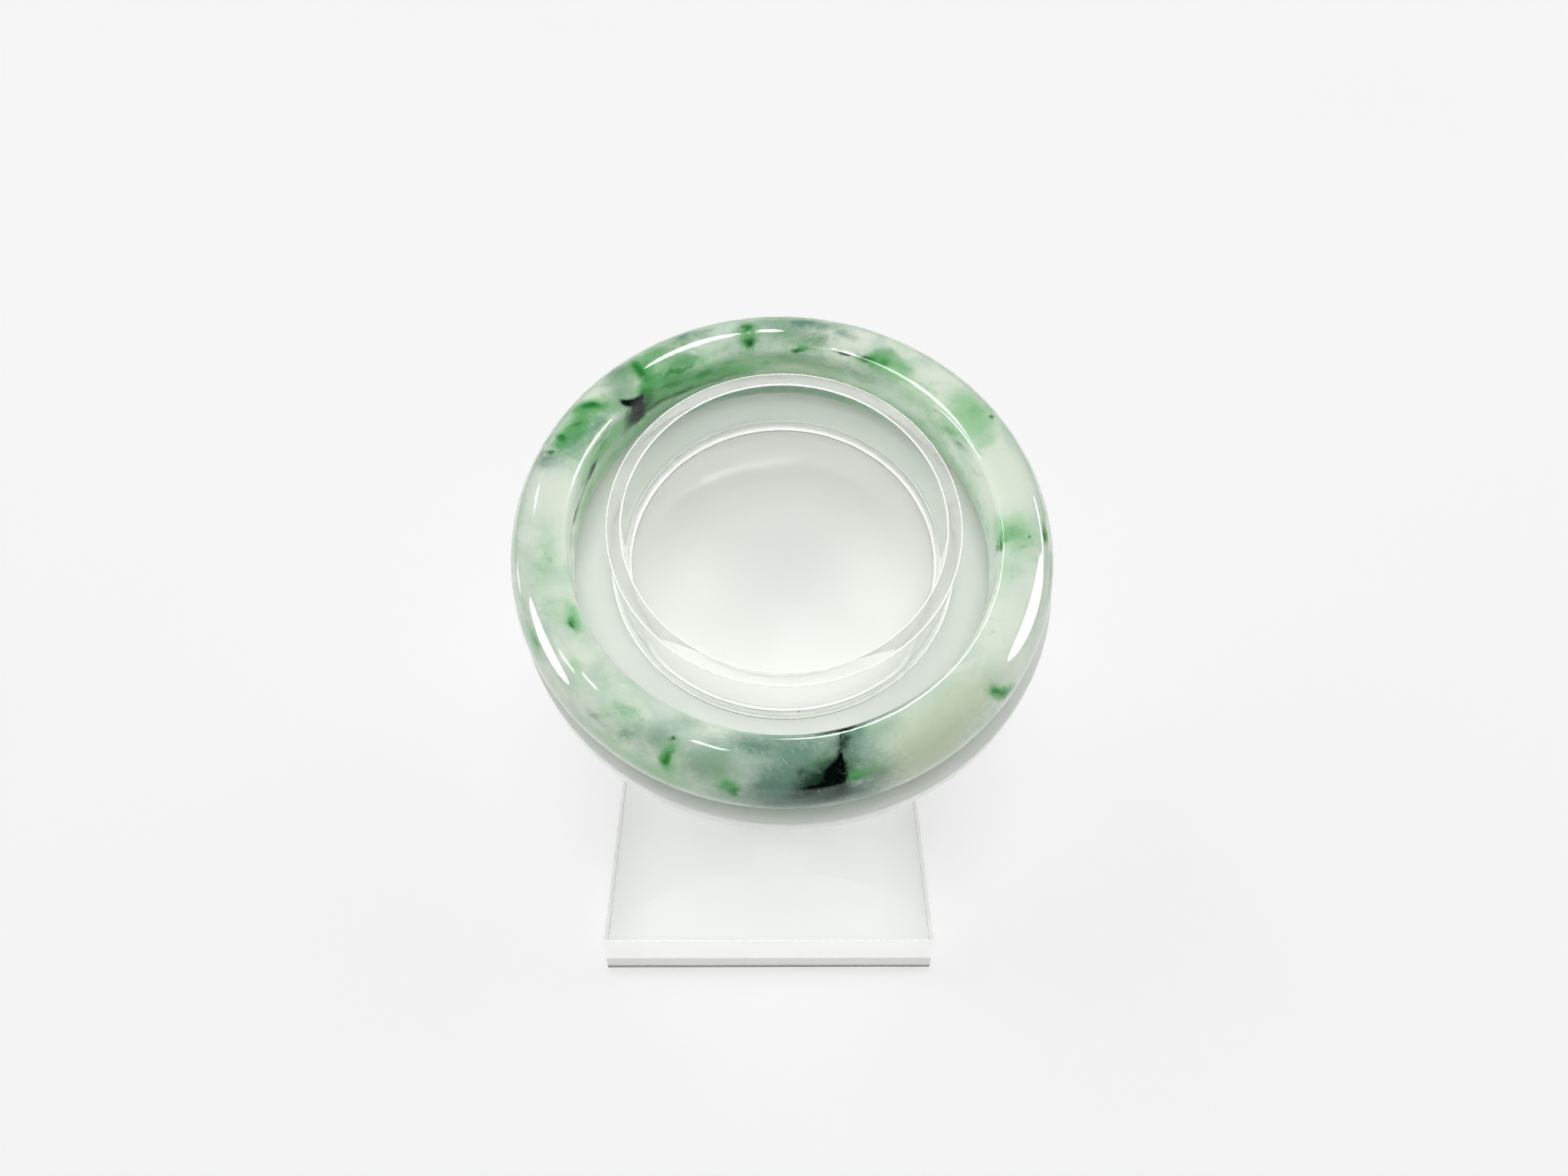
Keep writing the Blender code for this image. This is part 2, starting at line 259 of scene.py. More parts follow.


# Mottling of the jade, and painted shade: the long moss and slate patches at ways 19 to 20 darken the lower
# inner wall where the bangle meets the plate. Each soft patch has its place: an angle in degrees round the
# ring, from across towards uphill, and a way in mm along the section from the outer middle (0) over the crest
# (8), the bore's edge (12) and the middle of the inner wall (16.5) to the lower crest (25). Then come its half
# length and half width in mm, its slant in degrees and its strength.
MOTTLES = {
    "pale": [
        (12, 9.5, 7.0, 4.5, 0, 0.95), (16, 13.5, 7.0, 3.0, 0, 0.95), (48, 14.6, 5.0, 2.0, 0, 0.5),
        (256, 10.2, 3.0, 1.2, 0, 0.4), (255, 4.4, 2.6, 1.6, 0, 0.3), (226, 4.8, 3.4, 1.8, 0, 0.6),
        (330, 1.5, 6.0, 2.0, 0, 0.8), (107, 8.0, 3.6, 2.2, 0, 0.3), (118, 9.6, 3.4, 0.8, 0, 0.3),
        (136.5, 7.4, 2.4, 1.6, 40, 0.9), (142, 12.0, 1.8, 2.2, 0, 0.7), (172, 10.0, 5.0, 4.5, 0, 0.95),
        (182, 13.5, 6.0, 3.0, 0, 0.9), (199, 9.0, 2.5, 2.0, 0, 0.7), (216, 9.0, 2.6, 2.6, 0, 0.6),
        (240, 10.8, 4.0, 0.9, 0, 0.4), (225, 5.5, 2.0, 1.5, 0, 0.4), (333, 9.0, 7.0, 4.5, 0, 0.95),
        (345, 6.5, 3.0, 3.0, 0, 0.7), (327, 4.0, 3.0, 2.5, 0, 0.6), (75, 7.7, 0.8, 0.5, 0, 0.8),
        (215, 0.5, 14.0, 2.0, 0, 0.6), (93, 10.6, 2.4, 0.8, 0, 0.4), (50, 9.0, 3.4, 1.4, 10, 0.8),
        (44, 7.0, 2.0, 1.0, 0, 0.5), (190, 5.5, 6.0, 1.2, 0, 0.5),
    ],
    "grey": [
        (84, 14.6, 8.0, 2.8, 0, 0.5), (100, 15.2, 5.0, 2.0, 0, 0.6), (90, 9.4, 6.0, 2.4, 0, 0.6),
        (80, 7.2, 5.0, 1.2, 0, 0.6), (103, 12.4, 3.5, 1.0, 0, 0.5), (272, 7.0, 7.0, 5.0, 0, 0.95),
        (91, 7.4, 4.0, 1.4, 0, 0.7), (137, 10.2, 3.0, 1.8, 0, 0.8), (134, 7.0, 3.4, 1.8, 0, 0.8),
        (143, 14.6, 6.0, 2.2, 0, 0.6), (243, 7.2, 3.0, 2.2, 0, 0.6), (246, 10.4, 3.0, 1.6, 0, 0.4),
        (62, 10.6, 3.0, 1.4, 0, 0.6), (146, 14.6, 5.0, 2.4, 0, 0.6), (90, 9.0, 3.0, 1.0, 0, 0.4),
        (243, 7.2, 3.0, 1.2, 0, 0.4), (292, 9.6, 4.6, 1.8, 0, 0.7), (270, 1.0, 6.0, 2.0, 0, 0.5),
        (208, 6.4, 3.0, 1.0, 0, 0.35), (276, 1.5, 8.0, 3.0, 0, 0.75), (284, 9.6, 4.0, 3.2, 0, 0.7),
        (268, 10.6, 5.5, 1.3, 0, 0.8), (66, 14.2, 4.0, 1.4, 0, 0.5), (235, 5.4, 3.0, 1.2, 25, 0.3),
        (228, 4.4, 1.6, 0.6, 0, 0.3), (255, 7.0, 4.2, 2.6, 0, 0.7), (253, 5.6, 3.0, 1.8, 0, 0.6),
        (152, 15.4, 6.0, 1.6, 0, 0.6), (350, 3.6, 5.0, 0.8, 0, 0.7), (30, 14.4, 3.0, 0.9, 25, 0.6),
        (262, 1.0, 6.0, 2.5, 0, 0.6), (222, 9.0, 1.2, 2.4, 20, 0.35),
    ],
    # Slate mottling; its two long patches on the lower inner wall, at ways 19.4 and 19.6, are painted shade.
    "slate_and_painted_shade": [
        (75, 19.6, 16.0, 2.0, 0, 0.5), (108, 19.4, 18.0, 2.0, 0, 0.6), (275, 6.6, 4.8, 3.6, 0, 0.65),
        (277, 2.4, 5.4, 2.6, 0, 0.85), (284, 9.4, 3.0, 2.2, 0, 0.35), (267, 4.0, 3.0, 2.4, 0, 0.5),
        (271, 0.6, 5.0, 1.6, 0, 0.8), (264, 9.8, 4.0, 1.2, 0, 0.5), (288, 4.6, 3.6, 2.6, 0, 0.5),
        (285, 0.0, 6.0, 2.2, 0, 0.6), (80, 9.6, 4.0, 1.2, 0, 0.45), (85, 7.2, 2.8, 0.9, 0, 0.5),
        (98, 15.0, 5.0, 1.4, 0, 0.35),
    ],
    # Moss-green mottling; its five long patches at ways 19 to 20 are painted shade on the lower inner wall.
    "moss_and_painted_shade": [
        (60, 19.5, 16.0, 2.6, 0, 0.8), (95, 19.0, 18.0, 2.6, 0, 0.95), (130, 19.0, 16.0, 2.6, 0, 0.9),
        (25, 20.0, 14.0, 2.2, 0, 0.5), (160, 19.5, 12.0, 2.6, 0, 0.7), (138, 9.8, 4.0, 1.4, 0, 0.4),
        (84, 14.4, 9.0, 2.8, 0, 0.75), (66, 14.6, 4.5, 1.6, 0, 0.45), (103, 14.8, 5.0, 2.2, 0, 0.9),
        (61, 11.2, 3.8, 1.6, 0, 0.95), (61, 10.0, 3.4, 1.4, 0, 0.9), (243, 6.4, 3.0, 1.6, 0, 0.4),
        (255, 6.0, 4.0, 2.4, 0, 0.45), (132, 7.6, 3.0, 1.6, 0, 0.5), (121, 10.2, 4.0, 2.0, 0, 0.5),
        (134, 7.6, 2.6, 1.6, 0, 0.55), (121, 15.4, 7.0, 2.0, 0, 0.9), (134, 14.4, 5.0, 2.4, 0, 0.8),
        (91, 7.0, 3.4, 1.0, 0, 0.5), (81, 10.4, 4.0, 1.3, 0, 0.6), (90, 9.6, 3.0, 1.4, 0, 0.5),
        (112, 7.4, 4.0, 1.6, 0, 0.55), (122, 7.6, 4.0, 1.8, 0, 0.6), (141, 10.6, 2.6, 1.0, -20, 0.7),
        (155, 14.6, 5.0, 2.4, 0, 0.9), (146, 14.6, 3.0, 2.4, 0, 0.9), (166, 14.6, 4.0, 2.0, 0, 0.35),
        (38, 14.4, 4.0, 1.4, 25, 0.5), (106, 10.8, 3.0, 1.2, 0, 0.4),
    ],
    "khaki": [
        (303, 7.0, 9.0, 4.0, 0, 0.75), (298, 3.0, 8.0, 2.6, 0, 0.75), (316, 7.0, 4.0, 3.0, 0, 0.4),
        (88, 15.6, 8.0, 1.4, 0, 0.6), (150, 16.2, 6.0, 0.9, 0, 0.4), (256, 4.4, 1.4, 1.2, 0, 0.3),
        (99, 7.2, 1.6, 1.1, 0, 0.5), (305, 4.3, 9.0, 0.25, 0, 0.5),
    ],
    "apple": [
        (33, 9.2, 4.6, 3.2, 0, 1.0), (52, 11.2, 4.0, 1.2, 0, 0.35), (49, 13.8, 7.0, 2.2, 0, 0.5),
        (36, 14.2, 3.6, 2.4, 30, 0.6), (59.5, 10.2, 3.4, 1.6, 12, 0.9), (358, 9.6, 3.0, 3.6, 0, 0.8),
        (1, 13.8, 3.4, 2.8, 0, 0.85), (95, 14.2, 2.4, 1.1, 0, 0.7), (118, 13.6, 9.0, 3.2, -6, 1.0),
        (122, 11.8, 5.0, 1.5, -10, 1.0), (128, 10.0, 3.4, 2.4, 60, 0.95), (146, 9.0, 3.0, 1.9, -35, 0.95),
        (154, 8.8, 4.6, 2.8, 0, 0.95), (149, 14.4, 4.0, 2.2, 0, 0.9), (160, 13.0, 3.4, 2.0, 0, 0.6),
        (191, 9.4, 4.0, 2.2, 0, 0.5), (203, 8.0, 3.6, 1.2, 0, 0.4), (207, 10.2, 3.0, 1.3, 0, 0.8),
        (207.5, 4.0, 2.8, 1.1, 0, 0.8), (232, 8.0, 4.0, 2.4, 0, 0.4), (246.5, 4.6, 1.6, 3.0, 0, 0.9),
        (259, 4.0, 1.6, 1.6, 0, 0.7), (289, 5.4, 3.0, 1.4, 0, 0.4), (320, 3.6, 2.6, 1.4, -50, 0.9),
        (289, 10.2, 2.5, 1.0, 0, 0.5), (246, 0.8, 4.0, 1.8, 0, 0.6), (185, 4.4, 3.0, 1.0, 0, 0.4),
        (236, 2.0, 7.0, 1.6, 0, 0.6), (178, 15.0, 3.0, 1.2, 0, 0.5), (20, 14.0, 2.4, 0.5, 40, 0.5),
        (24.5, 10.0, 0.8, 1.6, 0, 0.5), (218, 7.4, 2.6, 1.0, 0, 0.5), (104, 14.4, 3.0, 1.4, 0, 0.6),
        (348, 10.0, 4.0, 2.4, 0, 0.3),
    ],
    "leaf": [
        (33, 8.2, 2.4, 1.5, 60, 0.5), (35, 13.8, 2.4, 1.0, 35, 0.7), (42, 12.8, 1.8, 0.6, 35, 0.5),
        (64, 10.8, 3.6, 1.1, 10, 1.0), (117, 14.6, 8.0, 2.0, -6, 0.95), (124, 12.4, 5.0, 1.4, -10, 0.95),
        (134, 15.0, 6.0, 2.0, 0, 0.7), (119, 16.0, 10.0, 1.2, 0, 0.7), (154, 15.2, 5.0, 1.6, 0, 0.6),
        (129, 9.4, 1.6, 3.0, 0, 1.0), (132, 12.4, 1.8, 2.0, 0, 0.8), (145.5, 8.2, 2.4, 1.2, -42, 1.0),
        (125, 8.4, 2.6, 1.6, 0, 0.6), (119, 10.6, 3.6, 0.9, 0, 0.6), (147, 7.0, 2.0, 1.2, 0, 0.6),
        (152, 8.6, 3.4, 1.6, 0, 0.8), (158, 7.6, 2.6, 1.4, 0, 0.8), (149, 14.2, 3.0, 1.4, 0, 0.8),
        (85, 11.6, 2.6, 0.8, 12, 0.7), (99.5, 9.6, 2.2, 2.8, 0, 0.9), (95, 14.3, 1.3, 0.7, 0, 0.6),
        (208, 10.2, 1.9, 0.7, -8, 0.8), (207, 4.0, 1.9, 0.6, 0, 0.6), (246.4, 5.0, 0.9, 2.2, 0, 0.95),
        (259, 3.6, 1.4, 1.3, 0, 0.9), (320, 3.4, 2.9, 1.0, -55, 1.0), (285.5, 4.8, 1.4, 0.7, 0, 0.8),
        (284.2, 5.2, 1.5, 1.1, 0, 0.95), (277, 7.4, 2.6, 0.8, 25, 0.6), (356.5, 13.2, 2.2, 1.8, 50, 0.95),
        (358, 10.0, 1.4, 2.2, 0, 0.5), (358, 5.2, 2.2, 0.7, 0, 0.8), (190, 9.6, 1.8, 0.8, 20, 0.3),
        (54, 9.6, 2.0, 0.5, 10, 0.4), (232, 8.2, 2.2, 0.7, 20, 0.35), (105, 13.6, 2.0, 0.8, 0, 0.5),
        (110, 15.4, 4.0, 0.8, 0, 0.5),
    ],
    "teal": [
        (85, 7.2, 2.6, 0.8, 0, 0.9), (115, 6.6, 1.4, 0.7, 0, 0.9), (99, 7.4, 1.8, 1.4, 0, 0.6),
        (156, 9.4, 4.0, 2.0, 0, 0.6), (163, 7.2, 1.8, 2.0, 0, 0.7), (150, 11.0, 2.8, 0.8, 0, 0.6),
        (272, 8.8, 4.0, 2.2, 0, 0.7), (285, 7.6, 3.4, 2.8, 0, 0.5), (268, 4.8, 3.4, 2.0, 0, 0.6),
        (118, 10.8, 4.0, 1.2, 0, 0.55), (145, 10.4, 3.0, 1.0, 0, 0.4), (134, 6.6, 2.0, 1.0, 0, 0.5),
        (262, 9.4, 3.0, 1.0, 0, 0.6), (112, 7.2, 3.5, 0.8, 0, 0.5), (286, 10.6, 2.0, 1.2, 0, 0.7),
        (74, 8.4, 3.0, 0.8, -12, 0.5), (229, 4.2, 1.6, 0.4, 10, 0.3), (236, 5.6, 2.0, 0.4, 25, 0.3),
    ],
    "emerald": [
        (30.3, 7.0, 0.75, 0.4, 70, 1.0), (66, 11.1, 1.5, 0.5, 6, 1.0), (61.5, 10.5, 1.6, 0.4, 15, 0.5),
        (86, 11.6, 1.5, 0.42, 12, 0.95), (99, 10.2, 1.2, 1.2, 0, 0.9), (99, 7.9, 1.2, 0.9, 0, 0.8),
        (121, 11.4, 4.0, 0.4, -6, 0.7), (129.3, 8.6, 0.9, 2.0, 0, 0.9), (113, 14.6, 3.2, 0.9, -10, 0.6),
        (124, 13.4, 3.6, 0.8, -10, 0.7), (131.8, 12.6, 1.2, 1.6, 0, 0.8), (145.6, 7.9, 1.7, 0.6, -46, 1.0),
        (151.5, 8.2, 1.2, 0.5, -30, 0.6), (156.7, 7.3, 1.1, 0.7, 80, 0.95), (161.6, 7.2, 1.4, 0.5, 80, 0.85),
        (150.5, 13.8, 1.8, 0.6, 10, 0.6), (208.8, 10.1, 0.8, 0.32, -8, 0.95),
        (246.6, 5.2, 1.3, 0.45, 82, 0.8), (259.8, 3.2, 0.6, 0.8, 0, 0.85), (319.6, 4.0, 1.8, 0.5, -55, 0.9),
        (284.3, 4.6, 0.9, 0.5, 0, 0.7), (355.8, 13.4, 1.7, 0.7, 62, 0.9), (355.4, 12.1, 1.5, 0.35, 0, 0.9),
        (356.6, 8.2, 0.35, 0.22, -30, 1.0), (358.5, 5.4, 1.3, 0.35, 0, 0.8), (295.5, 7.3, 0.2, 0.16, 0, 0.7),
        (245.6, 7.4, 0.5, 0.4, 0, 0.6),
    ],
    "deep": [
        (66.6, 11.1, 0.9, 0.28, 6, 0.8), (73.5, 11.0, 2.3, 0.34, 0, 0.95), (86.5, 11.7, 0.8, 0.2, 12, 0.7),
        (99.2, 10.8, 0.8, 0.6, 0, 0.7), (31, 14.3, 1.8, 0.4, 28, 0.55), (135, 14.6, 2.2, 2.4, 0, 0.95),
        (139, 13.6, 1.2, 2.0, 0, 0.6), (158, 15.8, 2.6, 0.7, 10, 0.95), (245.6, 7.6, 0.28, 0.3, 0, 1.0),
        (278.4, 5.6, 3.4, 2.0, 20, 1.0), (283.2, 9.4, 1.9, 0.8, 66, 0.85), (279, 1.8, 2.6, 1.4, 0, 0.6),
        (276.5, 4.6, 2.4, 1.1, 10, 0.9), (280.6, 3.0, 1.6, 1.2, 0, 0.8), (275, 1.4, 2.6, 1.0, 0, 0.4),
        (122, 16.2, 9.0, 0.9, 0, 0.5), (137, 15.4, 3.6, 1.4, 0, 0.6), (284, 11.4, 3.4, 0.5, 0, 0.9),
        (273.5, 6.6, 0.6, 0.4, 0, 0.6), (161.5, 5.8, 0.7, 0.5, 0, 0.5), (172, 16.4, 6.0, 0.6, 0, 0.8),
        (228, 3.9, 0.6, 0.18, 0, 0.25), (120, 16.4, 12.0, 0.4, 0, 0.5), (152, 12.5, 4.5, 0.22, 0, 0.6),
        (274, 3.0, 2.6, 0.8, 0, 0.5),
    ],
    "ink": [
        (280.9, 5.6, 1.0, 1.3, 0, 1.0), (279.6, 5.4, 1.3, 1.0, 30, 1.0), (277.8, 4.8, 1.3, 0.7, 20, 1.0),
        (281.4, 6.8, 0.7, 1.0, 0, 1.0), (279.8, 6.5, 1.3, 0.8, 42, 0.95), (281.9, 7.9, 0.22, 0.7, 0, 1.0),
        (275.6, 4.3, 1.4, 0.4, 6, 1.0), (283.4, 10.0, 1.6, 0.16, 74, 0.8), (285, 11.4, 1.6, 0.3, 0, 0.9),
        (279.4, 1.6, 0.5, 0.6, 30, 0.25), (136.0, 15.0, 1.7, 2.2, 0, 1.0), (135.4, 12.9, 1.2, 1.1, 0, 1.0),
        (137.2, 11.7, 1.5, 0.65, -32, 1.0), (134.8, 12.3, 0.7, 0.6, 0, 1.0),
        (138.8, 10.8, 0.6, 0.38, -30, 1.0), (157.5, 16.0, 1.8, 0.4, 10, 0.8),
    ],
    "vein": [
        (275, 8.0, 7.0, 3.0, 0, 1.0), (262, 8.4, 4.0, 1.6, 0, 0.8), (305, 5.6, 6.0, 1.0, 0, 0.6),
        (240, 9.6, 4.0, 1.4, 0, 0.7), (228, 7.4, 4.0, 2.0, 0, 0.5), (76, 7.6, 4.0, 1.4, 0, 0.5),
        (100, 9.0, 6.0, 1.2, 0, 0.4), (140, 9.0, 4.0, 2.4, 0, 0.6), (165, 9.0, 5.0, 2.4, 0, 0.6),
        (20, 9.0, 6.0, 2.5, 0, 0.4), (195, 8.0, 5.0, 2.0, 0, 0.4),
    ],
    "dull": [
        (98.3, 8.9, 0.55, 1.2, 0, 1.0), (300, 7.0, 0.5, 0.5, 0, 0.3),
    ],
}

# Radius in mm of the ring on which the patches are measured.
PATCH_RADIUS = 34.0
MM_PER_DEGREE = PATCH_RADIUS * math.pi / 180.0

# From the outer middle down to the lower crest. Beyond it, ways are counted on from the inner wall.
LOWER_CREST = 8.17 * MM

# Noise that bends and frays the patches: size of its features, how far it pushes in mm, what its seed adds.
BENDS = [(3.4 * MM, 1.5, 0), (1.1 * MM, 0.7, 20)]

# Seed of the first mask, what each further mask adds, and what the push along the section adds.
FIRST_SEED = 11
SEED_STEP = 7
BEND_ALONG_SEED = 40

# Painted dark reflection along the near bore edge: middle and half size, in degrees round the ring and in mm
# along the section.
PAINTED_REFLECTION_ANGLE = (287.0, 16.0)
PAINTED_REFLECTION_WAY = (11.75, 0.35)


def bend(points, seed):
    """How far noise pushes the patches at each point, in mm."""
    return sum(push * (cloudy(points, size, seed + more) - 0.5) for size, push, more in BENDS)


def mottle_mask(patches, angle, way, points, seed):
    """Union of soft slanted patches, with outlines that noise bends and frays."""
    across = np.degrees(angle) * MM_PER_DEGREE + bend(points, seed)
    along = way / MM + bend(points, seed + BEND_ALONG_SEED)
    whole = 360.0 * MM_PER_DEGREE
    left = np.ones(angle.shape)
    for middle, height, half_length, half_width, slant, strength in patches:
        dx = (across - middle * MM_PER_DEGREE + whole / 2) % whole - whole / 2
        dy = along - height
        cosine, sine = math.cos(math.radians(slant)), math.sin(math.radians(slant))
        lengthwise = (dx * cosine + dy * sine) / half_length
        widthwise = (dy * cosine - dx * sine) / half_width
        left *= 1.0 - strength * np.exp(-(lengthwise ** 2 + widthwise ** 2))
    return 1.0 - left


def painted_edge_reflection(angle, way):
    """Painted dark reflection along the upper bore edge on the near side, strongest by the black wedge."""
    middle, half_length = PAINTED_REFLECTION_ANGLE
    height, half_width = PAINTED_REFLECTION_WAY
    round_ring = (np.degrees(angle) - middle) / half_length
    across_section = (way / MM - height) / half_width
    return np.exp(-round_ring ** 2 - across_section ** 2)


def add_mask(mesh, name, values):
    layer = mesh.attributes.new(name, "FLOAT", "POINT")
    layer.data.foreach_set("value", values.reshape(-1).astype(np.float32))


class Jade:
    """The bangle's surface by angle round the ring (radians) and way along the section (metres)."""

    def __init__(self):
        self.ring = Turned("jade_bangle")
        self.half_width = (self.ring.high - self.ring.low) / 2 * INSIDE_WIDTH
        self.middle = (self.ring.high + self.ring.low) / 2
        wall = self.ring.outer - self.ring.inner
        self.along, self.radius, self.height = half_section(wall, self.half_width)
        self.reach = self.along[-1]

    def point(self, angle, way):
        r = self.ring.inner + np.interp(np.abs(way), self.along, self.radius)
        h = np.interp(np.abs(way), self.along, self.height) * np.sign(way)
        return self.ring.point(r, angle, self.middle + h)

    def normal(self, angle, way):
        step, turn = 0.02 * MM, 0.001
        along_section = self.point(angle, way + step) - self.point(angle, way - step)
        round_ring = self.point(angle + turn, way) - self.point(angle - turn, way)
        square = np.cross(round_ring, along_section)
        return square / np.linalg.norm(square, axis=-1, keepdims=True)


def make_bangle(jade):
    way = (np.arange(SECTION_STEPS) + 0.5) / SECTION_STEPS * 2 * jade.reach - jade.reach
    angle = np.arange(BANGLE_STEPS) / BANGLE_STEPS * 2 * math.pi
    angle, way = np.meshgrid(angle, way, indexing="ij")
    points = jade.point(angle, way)
    made = closed_grid("jade_ring", points)
    way = np.where(way < -LOWER_CREST, way + 2 * jade.reach, way)
    # The moss and slate masks also hold painted shade on the lower inner wall.
    for index, (name, patches) in enumerate(MOTTLES.items()):
        seed = FIRST_SEED + SEED_STEP * index
        add_mask(made.data, name, mottle_mask(patches, angle, way, points, seed))
    # Mask of the painted dark reflection along the near bore edge.
    add_mask(made.data, "painted_edge_reflection", painted_edge_reflection(angle, way))
    return made


# Node helpers

class Tree:
    """Short calls for building a material's node tree."""

    def __init__(self, name):
        self.material = bpy.data.materials.new(name)
        self.material.use_nodes = True
        self.nodes = self.material.node_tree.nodes
        self.links = self.material.node_tree.links
        self.shader = self.nodes["Principled BSDF"]

    def set(self, node, key, value):
        """Puts a number or colour on a socket, or links another node's output to it."""
        if isinstance(value, bpy.types.NodeSocket):
            self.links.new(value, node.inputs[key])
        else:
            node.inputs[key].default_value = value

    def shade(self, **values):
        for key, value in values.items():
            self.set(self.shader, key.replace("_", " "), value)

    def mask(self, name):
        node = self.nodes.new("ShaderNodeAttribute")
        node.attribute_name = name
        return node.outputs["Fac"]

    def place(self):
        return self.nodes.new("ShaderNodeTexCoord").outputs["Object"]

    def noise(self, scale, detail, roughness, distortion=0.0, vector=None):
        node = self.nodes.new("ShaderNodeTexNoise")
        self.set(node, "Vector", vector if vector is not None else self.place())
        self.set(node, "Scale", scale)
        self.set(node, "Detail", detail)
        self.set(node, "Roughness", roughness)
        self.set(node, "Distortion", distortion)
        return node.outputs["Fac"]

    def stretched(self, scale, turn):
        """Coordinates turned and stretched, for noise drawn out in one direction."""
        node = self.nodes.new("ShaderNodeMapping")
        self.set(node, "Vector", self.place())
        node.inputs["Rotation"].default_value = turn
        node.inputs["Scale"].default_value = scale
        return node.outputs["Vector"]

    def warped(self, amount, scale):
        """Coordinates pushed about by colour noise."""
        push = self.nodes.new("ShaderNodeTexNoise")
        self.set(push, "Vector", self.place())
        self.set(push, "Scale", scale)
        add = self.nodes.new("ShaderNodeVectorMath")
        add.operation = "MULTIPLY_ADD"
        self.set(add, 0, push.outputs["Color"])
        add.inputs[1].default_value = (amount, amount, amount)
        self.set(add, 2, self.place())
        return add.outputs[0]

    def cells(self, scale, vector):
        """Distance to the edges of random cells."""
        node = self.nodes.new("ShaderNodeTexVoronoi")
        node.feature = "DISTANCE_TO_EDGE"
        self.set(node, "Vector", vector)
        self.set(node, "Scale", scale)
        return node.outputs["Distance"]

    def maths(self, operation, a, b):
        node = self.nodes.new("ShaderNodeMath")
        node.operation = operation
        self.set(node, 0, a)
        self.set(node, 1, b)
        return node.outputs[0]

    def ramp(self, value, low, high, to_low=0.0, to_high=1.0):
        """Smooth step between two values of the input."""
        node = self.nodes.new("ShaderNodeMapRange")
        node.interpolation_type = "SMOOTHSTEP"
        self.set(node, "Value", value)
        self.set(node, "From Min", low)
        self.set(node, "From Max", high)
        self.set(node, "To Min", to_low)
        self.set(node, "To Max", to_high)
        return node.outputs["Result"]

    def mix(self, factor, a, b):
        node = self.nodes.new("ShaderNodeMix")
        node.data_type = "RGBA"
        self.set(node, 0, factor)
        self.set(node, 6, a)
        self.set(node, 7, b)
        return node.outputs[2]

    def bump(self, height, distance, strength):
        node = self.nodes.new("ShaderNodeBump")
        self.set(node, "Height", height)
        self.set(node, "Distance", distance)
        self.set(node, "Strength", strength)
        return node.outputs["Normal"]


# Colours and materials

def srgb(red, green, blue):
    """Linear colour from the 0 to 255 numbers of a picture."""
    channels = [c / 255.0 for c in (red, green, blue)]
    return (*[c / 12.92 if c <= 0.04045 else ((c + 0.055) / 1.055) ** 2.4 for c in channels], 1.0)


JADE = {
    "celadon": srgb(196, 214, 198),
    "pale": srgb(220, 229, 215),
    "grey": srgb(148, 174, 156),
    # Slate and moss also serve as painted shade on the lower inner wall.
    "slate_and_painted_shade": srgb(84, 116, 102),
    "moss_and_painted_shade": srgb(128, 168, 128),
    "khaki": srgb(194, 206, 180),
    "apple": srgb(158, 202, 158),
    "leaf": srgb(96, 164, 102),
    "teal": srgb(108, 146, 128),
    "emerald": srgb(42, 124, 56),
    "deep": srgb(30, 60, 42),
    "ink": srgb(3, 13, 11),
    "vein": srgb(228, 240, 230),
}

# Layers of the mottling, with painted shade in the moss and slate layers, in the order in which they are laid:
# how much noise frays the mask, and the values of the frayed mask at which the layer starts and is full. The
# ink goes on last, over the painted dark reflection along the near bore edge.
LAYERS = [
    ("pale", 1.0, 0.05, 0.95),
    ("grey", 1.0, 0.05, 0.95),
    ("moss_and_painted_shade", 1.2, 0.05, 0.95),
    ("khaki", 1.0, 0.05, 0.95),
    ("slate_and_painted_shade", 1.2, 0.05, 0.95),
    ("apple", 1.3, 0.05, 0.95),
    ("teal", 1.6, 0.05, 1.0),
    ("leaf", 1.5, 0.1, 1.0),
    ("emerald", 1.3, 0.1, 1.0),
    ("deep", 1.2, 0.1, 1.0),
]
# Strength of the painted dark reflection along the near bore edge.
PAINTED_REFLECTION_STRENGTH = 0.85
INK_LAYER = ("ink", 0.9, 0.2, 0.8)

# Colours of the stand and the floor.
PLAIN = {
    "clear": (0.995, 1.0, 0.995, 1.0),
    "milky": (0.93, 0.935, 0.90, 1.0),
    "milky_light": (0.99, 0.99, 0.97, 1.0),
    "frost": (0.985, 0.985, 0.98, 1.0),
    # Painted shade and painted contact shadow low on the foot's frosted front.
    "frost_painted_shade": (0.66, 0.65, 0.64, 1.0),
    "frost_painted_shadow": (0.22, 0.21, 0.20, 1.0),
    "opal": (0.86, 0.885, 0.85, 1.0),
    "opal_light": (0.89, 0.91, 0.87, 1.0),
    "speck": (0.12, 0.12, 0.10, 1.0),
    "floor": (0.86, 0.865, 0.86, 1.0),
    "floor_light": (0.88, 0.885, 0.88, 1.0),
    "glow": (1.0, 1.0, 1.0, 1.0),
}


